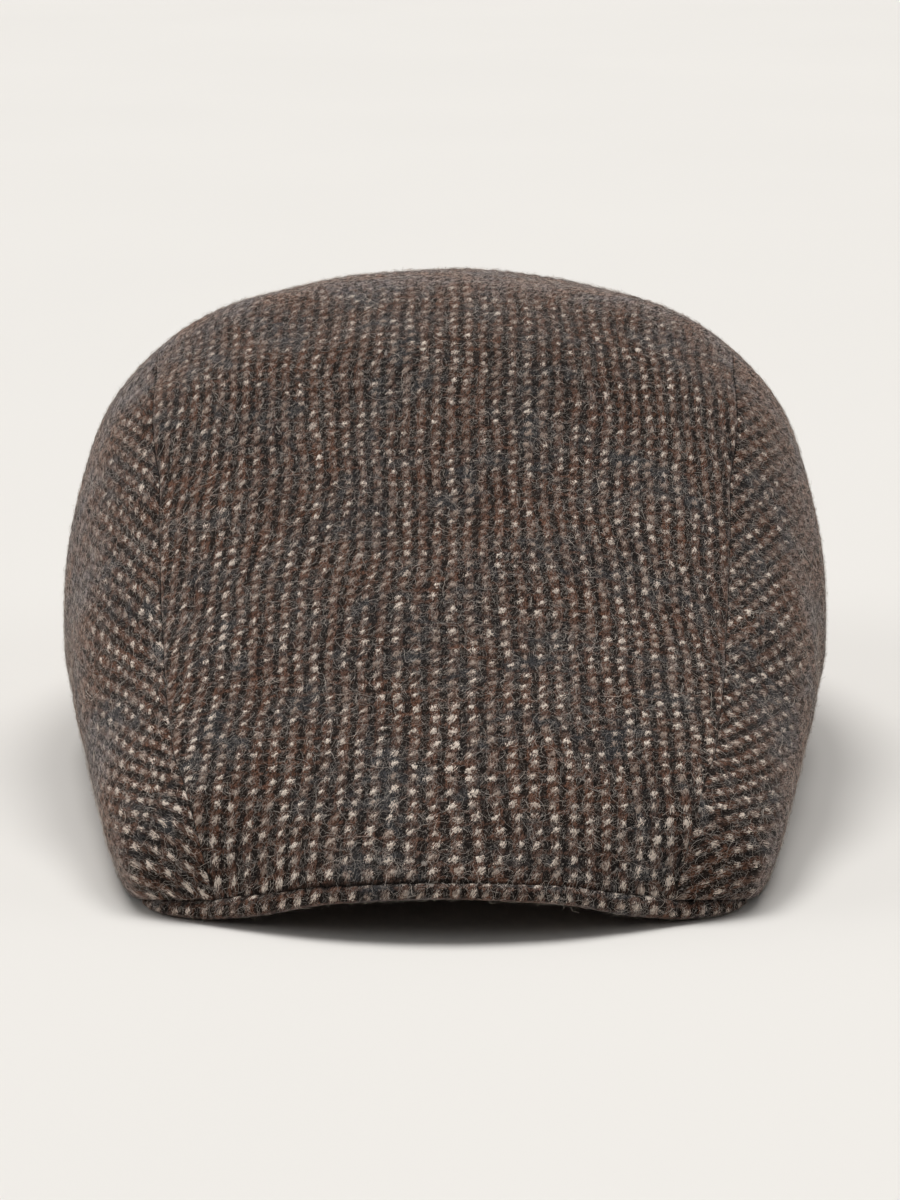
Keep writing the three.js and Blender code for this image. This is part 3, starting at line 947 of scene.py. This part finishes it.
def weave_group():
    """The tweed's colours and height from the weave's column and row numbers, built once."""
    tree = bpy.data.node_groups.new("Tweed weave", "ShaderNodeTree")
    sockets = [("Weave", "INPUT", "Vector")]
    sockets += [(name, "INPUT", "Color") for name in WEAVE_COLOURS]
    sockets += [("Colour", "OUTPUT", "Color"), ("Matted_sheen", "OUTPUT", "Color"), ("Height", "OUTPUT", "Float")]
    for name, way, kind in sockets:
        tree.interface.new_socket(name, in_out=way, socket_type=f"NodeSocket{kind}")
    g = Graph(tree)
    given = g.add("NodeGroupInput").outputs
    place = given["Weave"]

    # Cells with ruffled borders, each with its own chance and with a cluster near its middle
    ruffle = g.vectors("SUBTRACT", g.noise(place, *FIELDS["ruffle"])["Color"], HALF)
    moved = g.vectors("ADD", place, g.scaled(ruffle, RUFFLE_DEPTH))
    cell = g.vectors("FLOOR", moved)
    inside = g.vectors("SUBTRACT", g.vectors("FRACTION", moved), HALF)
    lots = g.chance(cell)
    hue = g.chance(g.vectors("ADD", cell, HUE_STEP))
    stray = g.add("ShaderNodeCombineXYZ", {"X": lots[0], "Y": lots[1]}).outputs["Vector"]
    stray = g.scaled(g.vectors("SUBTRACT", stray, HALF), CLUSTER_STRAY)
    core = cluster(g, inside, stray)
    fine = lying(g, place)

    # What changes slowly over the cloth
    patch = g.maths("SUBTRACT", field(g, "patch", place), 0.5)
    warm = spread(g, "warm", place)
    row = g.add("ShaderNodeSeparateXYZ", {"Vector": place}).outputs["Y"]
    front = mask(g, "front rows", g.maths("ABSOLUTE", row))

    # Brown ground with a dark square between each two floats
    sides = g.add("ShaderNodeSeparateXYZ", {"Vector": inside}).outputs
    beside = mask(g, "beside", g.maths("ABSOLUTE", sides["X"]))
    between = mask(g, "between", g.maths("ABSOLUTE", sides["Y"]))
    dark = g.maths("MULTIPLY_ADD", beside, between, spread(g, "dark", fine))
    ground = g.blend(mask(g, "dark", dark), given["Brown"], given["Charcoal"])
    cool = g.maths("MULTIPLY_ADD", warm, COOL_BY_WARM, spread(g, "cool", place))
    ground = g.blend(mask(g, "cool", cool), ground, given["Slate"])
    wool = field(g, "wool", fine)
    tint = g.blend(mask(g, "warm", warm), COOL_TINT, WARM_TINT)
    colour = g.blend(1.0, g.scaled(ground, mask(g, "shade", wool)), tint, "MULTIPLY")

    # Brown bits, then pale bits of the floats
    dull = g.maths("MULTIPLY_ADD", core, DULL["core"], spread(g, "dull", fine))
    dull = mask(g, "dull", g.maths("MULTIPLY_ADD", patch, DULL["patch"], dull))
    rusty = mask(g, "rusty", g.maths("ADD", hue[2], warm))
    colour = g.blend(dull, colour, g.blend(rusty, given["Tan"], given["Rust"]))
    streak = g.chance(g.vectors("MULTIPLY", cell, COLUMN_ONLY))[0]
    pale = g.maths("ADD", spread(g, "bits", fine), spread(g, "clumps", fine))
    causes = {"core": core, "cell": lots[2], "streak": streak, "patch": patch, "front": front}
    for name, cause in causes.items():
        pale = g.maths("MULTIPLY_ADD", cause, PALE[name], pale)
    pale = mask(g, "pale", pale)
    colour = g.blend(mask(g, "specks", field(g, "specks", fine)), colour, given["Cream"])
    paler = g.maths("ADD", hue[1], spread(g, "tint", fine))
    paler = mask(g, "cream", g.maths("MULTIPLY_ADD", front, PALER_FRONT, paler))
    colour = g.blend(pale, colour, g.blend(paler, given["Tan"], given["Cream"]))

    # Curled fibres over all, and matted ones that hide the weave where the cloth is seen edge on, in a pale
    # colour that is partly painted sheen
    lines = curls(g, fine)
    veil = g.maths("MULTIPLY", lines, VEIL)
    colour = g.blend(veil, colour, given["Fibre"])
    matted = mask(g, "mat", field(g, "mat", fine))
    matted = g.blend(matted, g.scaled(ground, MAT_DARK), given["Sheen_haze"])
    matted = g.blend(1.0, matted, tint, "MULTIPLY")
    matted = g.blend(g.maths("MULTIPLY", veil, MAT_VEIL), matted, given["Fibre"])

    height = g.maths("MULTIPLY", wool, HEIGHT["wool"])
    causes = {"pale": pale, "core": g.maths("MAXIMUM", core, 0.0), "lines": lines}
    for name, cause in causes.items():
        height = g.maths("MULTIPLY_ADD", cause, HEIGHT[name], height)
    g.add("NodeGroupOutput", {"Colour": colour, "Matted_sheen": matted, "Height": height})
    return tree


def new_material(name, finish, bloom):
    """A material with its graph and its shader, whose even values are set on the shader itself."""
    material = bpy.data.materials.new(name)
    material.use_nodes = True
    shader = material.node_tree.nodes["Principled BSDF"]
    shader.inputs["Roughness"].default_value = finish[0]
    shader.inputs["Specular IOR Level"].default_value = SPECULAR
    shader.inputs["Sheen Weight"].default_value = finish[1]
    shader.inputs["Sheen Roughness"].default_value = SHEEN_ROUGHNESS
    shader.inputs["Sheen Tint"].default_value = (*bloom, 1.0)
    return material, Graph(material.node_tree), shader


def tweed_material(name, colours):
    """Chunky tweed: pale floats in rows on a dark ground, under stray fibres, with painted sheen at rims
    seen edge on and painted shade in its creases.
    """
    material, g, shader = new_material(name, TWEED_FINISH, colours.bloom)
    group = bpy.data.node_groups.get("Tweed weave") or weave_group()
    values = {key: (*getattr(colours, key.lower()), 1.0) for key in WEAVE_COLOURS}
    values["Weave"] = g.add("ShaderNodeUVMap", uv_map="Weave").outputs["UV"]
    cloth = g.add("ShaderNodeGroup", values, node_tree=group).outputs
    bump = {"Strength": BUMP_STRENGTH, "Distance": BUMP_DEPTH, "Height": cloth["Height"]}
    edge_on = g.add("ShaderNodeLayerWeight").outputs["Facing"]
    crease = g.add("ShaderNodeAttribute", attribute_name="crease").outputs["Fac"]
    # Partly painted sheen: seen edge on, the cloth turns to the paler matted colour, except at painted
    # creases
    matted_sheen_share = g.maths("SUBTRACT", mask(g, "edge on", edge_on), crease, clamp=True)
    seen = g.blend(matted_sheen_share, cloth["Colour"], cloth["Matted_sheen"])
    # Painted shade: edges, seams and the front fold darken towards charcoal
    crease_shaded = g.blend(g.maths("MULTIPLY", crease, CREASE_SHADE), seen, (*colours.charcoal, 1.0))
    g.put(shader.inputs["Base Color"], crease_shaded)
    g.put(shader.inputs["Normal"], g.add("ShaderNodeBump", bump).outputs["Normal"])
    return material


def fibre_material(colours):
    """Stray wool fibres from nearly black to pale, by the tone of each."""
    material, g, shader = new_material("Stray wool", FIBRE_FINISH, colours.bloom)
    tone = g.add("ShaderNodeAttribute", attribute_name="tone").outputs["Fac"]
    colour = g.blend(mask(g, "lit fibre", tone), (*colours.brown, 1.0), (*colours.fibre, 1.0))
    colour = g.blend(mask(g, "pale fibre", tone), colour, (*colours.cream, 1.0))
    g.put(shader.inputs["Base Color"], colour)
    return material


def floor_material(colours):
    """A plain pale floor with a faint grain."""
    material, g, shader = new_material("Pale floor", FLOOR_FINISH, colours.floor)
    place = g.add("ShaderNodeTexCoord").outputs["Object"]
    grain = mask(g, "floor grain", g.noise(place, FLOOR_GRAIN)["Fac"])
    g.put(shader.inputs["Base Color"], g.scaled(tuple(colours.floor), grain))
    return material


# Settings


def amount(name, description, default):
    return FloatProperty(name=name, description=description, default=default, min=0.0)


def length(name, description, default):
    return FloatProperty(name=name, description=description, default=default, unit="LENGTH", precision=5)


def angle(name, description, degrees):
    return FloatProperty(name=name, description=description, default=math.radians(degrees), subtype="ANGLE")


def colour(name, description, default):
    return FloatVectorProperty(
        name=name, description=description, default=default, subtype="COLOR", size=3, min=0.0, max=1.0
    )


class FlatCapSizes(bpy.types.PropertyGroup):
    """Sizes of the cloth and its weave"""

    wall: length("Cloth thickness", "Thickness of the tweed", 0.002)
    seam_rounding: length("Seam rounding", "How far an edge bulges at a seam", 0.0002)
    fold_rounding: length("Fold rounding", "How far the front fold and the back hem bulge", 0.0009)
    hem_rounding: length("Hem rounding", "How far an edge bulges at the hem of a side panel", 0.0003)
    seam_gap: length("Seam gap", "Gap between two panels at a seam", 0.00002)
    column_pitch: length("Column pitch", "Distance between two columns of the weave", 0.00385)
    row_pitch: length("Row pitch", "Distance between two rows of the weave", 0.00345)
    relief: length("Relief", "Height of the weave's floats", 0.00024)


class FlatCapNap(bpy.types.PropertyGroup):
    """Stray fibres of the wool"""

    width: length("Width", "Width of a fibre", 0.000055)
    fuzz: amount("Fuzz", "Short fibres on a square centimetre", 55.0)
    fuzz_length: length("Fuzz length", "Middle length of a short fibre", 0.0017)
    fuzz_lift: length("Fuzz lift", "How far short fibres commonly stand off the cloth", 0.0004)
    curls: amount("Curls", "Long fibres on a square centimetre", 22.0)
    curl_length: length("Curl length", "Middle length of a long fibre", 0.0042)
    curl_lift: length("Curl lift", "How far long fibres commonly stand off the cloth", 0.0003)

    def kinds(self):
        """The two kinds of fibre, in millimetres."""
        fuzz = {"density": self.fuzz, "length": self.fuzz_length / MM, "lift": self.fuzz_lift / MM}
        curls = {"density": self.curls, "length": self.curl_length / MM, "lift": self.curl_lift / MM}
        return {"fuzz": fuzz | FUZZ_STRIP, "curls": curls | CURL_STRIP}


class FlatCapColours(bpy.types.PropertyGroup):
    """Colours of the yarns, the stray fibres and the floor"""

    cream: colour("Cream", "Palest floats", (0.98, 0.855, 0.745))
    tan: colour("Tan", "Darker floats", (0.40, 0.31, 0.255))
    rust: colour("Rust", "Rust-brown flecks", (0.22, 0.097, 0.057))
    charcoal: colour("Charcoal", "Darkest ground", (0.0138, 0.0108, 0.0098))
    brown: colour("Brown", "Brown ground", (0.083, 0.048, 0.036))
    slate: colour("Slate", "Blue-grey flecks of the ground", (0.036, 0.034, 0.0345))
    fibre: colour("Fibre", "Stray fibres", (0.64, 0.575, 0.52))
    # Partly painted sheen: the pale colour of matted fibres on rims seen edge on
    sheen_haze: colour("Sheen_haze", "Matted fibres at the rims", (0.44, 0.36, 0.335))
    bloom: colour("Bloom", "Wool's pale bloom at its rims", (0.80, 0.72, 0.66))
    floor: colour("Floor", "The plain floor", (0.81, 0.795, 0.77))


class FlatCapStage(bpy.types.PropertyGroup):
    """Camera and light"""

    elevation: angle("Elevation", "Camera's angle above the floor", 16.0)
    distance: length("Distance", "From the camera to its aim", 0.75)
    aim_height: length("Aim height", "Height of the camera's aim", 0.0387)
    aside: length("Aside", "How far right of the cap's middle the camera stands", 0.0013)
    key_left: amount("Left key", "Strength of the key light on the left", 1.7)
    key_right: amount("Right key", "Strength of the key light on the right", 1.18)
    key_turn: angle("Key turn", "How far both keys stand round from straight behind", 33.0)
    key_height: angle("Key height", "Keys' angle above the floor", 66.0)
    key_softness: angle("Key softness", "Angle that each key light fills", 24.0)
    fill_left: amount("Left fill", "Strength of the fill light on the left", 0.72)
    fill_right: amount("Right fill", "Strength of the fill light on the right", 0.36)
    fill_turn: angle("Fill turn", "How far both fills stand round from straight behind", 82.0)
    fill_height: angle("Fill height", "Fills' angle above the floor", 20.0)
    fill_softness: angle("Fill softness", "Angle that each fill light fills", 36.0)
    sky: amount("Sky", "Strength of the light from overhead", 0.2)


# Operators


class FLATCAP_OT_centre(bpy.types.Operator):
    """Builds the centre panel, from the peak's edge over the top and down the back"""

    bl_idname = "flatcap.centre"
    bl_label = "Crown centre panel"

    def execute(self, context):
        sizes = context.scene.flat_cap_sizes
        cloth = centre_cloth(sizes)
        material = tweed_material("Crown tweed", context.scene.flat_cap_colours)
        made = shell(cloth, sizes, sizes.fold_rounding, (0, CENTRE_ROWS), shaded_folds=True)
        piece = new_piece("crown_centre_tweed", *made, material)
        settle(piece, "tweed", "crown_centre_panel")
        return {"FINISHED"}


class FLATCAP_OT_sides(bpy.types.Operator):
    """Builds the two side panels"""

    bl_idname = "flatcap.sides"
    bl_label = "Crown side panels"

    def execute(self, context):
        sizes = context.scene.flat_cap_sizes
        material = bpy.data.materials["Crown tweed"]
        left = side_cloth(sizes)
        for side, cloth in (("left", left), ("right", left.mirrored())):
            made = shell(cloth, sizes, sizes.hem_rounding, (0,), shaded_folds=False)
            piece = new_piece(f"crown_side_{side}_tweed", *made, material)
            settle(piece, "tweed", f"crown_side_{side}")
        return {"FINISHED"}


class FLATCAP_OT_peak(bpy.types.Operator):
    """Builds the covered peak, whose edge shows below the crown's fold"""

    bl_idname = "flatcap.peak"
    bl_label = "Peak"

    def execute(self, context):
        cloth = peak_cloth(context.scene.flat_cap_sizes)
        material = tweed_material("Peak tweed", context.scene.flat_cap_colours)
        settle(new_piece("peak_tweed", *peak_shell(cloth), material), "peak_tweed", "peak")
        return {"FINISHED"}


class FLATCAP_OT_nap(bpy.types.Operator):
    """Adds stray wool fibres over the panels and the peak"""

    bl_idname = "flatcap.nap"
    bl_label = "Stray fibres"

    def execute(self, context):
        sizes = context.scene.flat_cap_sizes
        nap = context.scene.flat_cap_nap
        material = fibre_material(context.scene.flat_cap_colours)
        left = side_cloth(sizes)
        panels = {
            "crown_centre": (centre_cloth(sizes), "tweed"),
            "crown_side_left": (left, "tweed"),
            "crown_side_right": (left.mirrored(), "tweed"),
            "peak": (peak_cloth(sizes).nose(), "peak_tweed"),
        }
        seed = FIBRE_SEED
        for name, (cloth, slot) in panels.items():
            for label, kind in nap.kinds().items():
                piece = new_fibres(f"{name}_{label}", cloth, kind, nap.width / MM, seed, material)
                settle(piece, slot)
                seed += 1
        return {"FINISHED"}


def new_floor(material):
    """A level square, far wider than the camera sees."""
    mesh = bpy.data.meshes.new("floor")
    corners = [(x * FLOOR_HALF, y * FLOOR_HALF, 0.0) for x, y in ((-1, -1), (1, -1), (1, 1), (-1, 1))]
    mesh.from_pydata(corners, [], [(0, 1, 2, 3)])
    mesh.materials.append(material)
    floor = bpy.data.objects.new("floor", mesh)
    bpy.context.scene.collection.objects.link(floor)
    return floor


def new_soft_light(name, strength, turn, height, softness):
    """A far light that fills an angle of the sky, turned round to the left from straight behind the cap."""
    light = bpy.data.lights.new(name, "SUN")
    light.energy = strength
    light.angle = softness
    light.color = LIGHT_COLOUR
    lamp = bpy.data.objects.new(name, light)
    level = math.cos(height)
    towards = Vector((-level * math.sin(turn), level * math.cos(turn), math.sin(height)))
    lamp.rotation_mode = "QUATERNION"
    lamp.rotation_quaternion = towards.to_track_quat("Z", "Y")
    bpy.context.scene.collection.objects.link(lamp)


def overhead_sky(strength):
    """A sky that is brightest overhead, a little behind the cap, and plain and pale to the camera."""
    world = bpy.data.worlds.new("Soft light")
    world.use_nodes = True
    g = Graph(world.node_tree)
    sky = world.node_tree.nodes["Background"]
    place = g.add("ShaderNodeTexCoord").outputs["Generated"]
    near = g.vectors("DOT_PRODUCT", place, SKY_MIDDLE)
    bright = g.ease(near, *SKY_BAND, SKY_DARKEST * strength, strength)
    seen = g.add("ShaderNodeLightPath").outputs["Is Camera Ray"]
    share = g.add("ShaderNodeMix", data_type="FLOAT")
    g.put(share.inputs[0], seen)
    g.put(share.inputs[2], bright)
    share.inputs[3].default_value = SKY_SEEN
    sky.inputs["Color"].default_value = (*LIGHT_COLOUR, 1.0)
    g.put(sky.inputs["Strength"], share.outputs[0])
    return world


def new_camera(stage):
    """A camera that looks at the cap from the front and a little above."""
    lens = bpy.data.cameras.new("camera")
    lens.lens = LENS
    lens.sensor_width = SENSOR
    camera = bpy.data.objects.new("camera", lens)
    aim = Vector((stage.aside, 0.0, stage.aim_height))
    back = Vector((0.0, -math.cos(stage.elevation), math.sin(stage.elevation)))
    camera.location = aim + back * stage.distance
    camera.rotation_mode = "QUATERNION"
    camera.rotation_quaternion = (-back).to_track_quat("-Z", "Y")
    bpy.context.scene.collection.objects.link(camera)
    return camera


class FLATCAP_OT_stage(bpy.types.Operator):
    """Sets the floor, the soft light and the camera"""

    bl_idname = "flatcap.stage"
    bl_label = "Stage"

    def execute(self, context):
        scene = context.scene
        stage = scene.flat_cap_stage
        floor = new_floor(floor_material(scene.flat_cap_colours))
        scene.world = overhead_sky(stage.sky)
        key = (stage.key_height, stage.key_softness)
        fill = (stage.fill_height, stage.fill_softness)
        new_soft_light("left key", stage.key_left, stage.key_turn, *key)
        new_soft_light("right key", stage.key_right, -stage.key_turn, *key)
        new_soft_light("left fill", stage.fill_left, stage.fill_turn, *fill)
        new_soft_light("right fill", stage.fill_right, -stage.fill_turn, *fill)
        scene.camera = new_camera(stage)
        scene.view_settings.view_transform = "Standard"
        return {"FINISHED"}


OPERATORS = (
    FLATCAP_OT_stage,
    FLATCAP_OT_centre,
    FLATCAP_OT_sides,
    FLATCAP_OT_peak,
    FLATCAP_OT_nap,
)
SETTINGS = {
    "flat_cap_sizes": FlatCapSizes,
    "flat_cap_nap": FlatCapNap,
    "flat_cap_colours": FlatCapColours,
    "flat_cap_stage": FlatCapStage,
}


class FLATCAP_PT_sidebar(bpy.types.Panel):
    """Lists the cap's settings and the operators that build it"""

    bl_idname = "FLATCAP_PT_sidebar"
    bl_label = "Flat cap"
    bl_space_type = "VIEW_3D"
    bl_region_type = "UI"
    bl_category = "Flat cap"

    def draw(self, context):
        for name, group in SETTINGS.items():
            box = self.layout.box()
            box.label(text=group.__doc__)
            for key in group.__annotations__:
                box.prop(getattr(context.scene, name), key)
        for operator in OPERATORS:
            self.layout.operator(operator.bl_idname)


def register():
    for made in (*SETTINGS.values(), *OPERATORS, FLATCAP_PT_sidebar):
        bpy.utils.register_class(made)
    for name, group in SETTINGS.items():
        setattr(bpy.types.Scene, name, PointerProperty(type=group))


def unregister():
    for name in SETTINGS:
        delattr(bpy.types.Scene, name)
    for made in reversed((*SETTINGS.values(), *OPERATORS, FLATCAP_PT_sidebar)):
        bpy.utils.unregister_class(made)


def main():
    register()
    for operator in OPERATORS:
        group, name = operator.bl_idname.split(".")
        getattr(getattr(bpy.ops, group), name)()


if __name__ == "__main__":
    main()
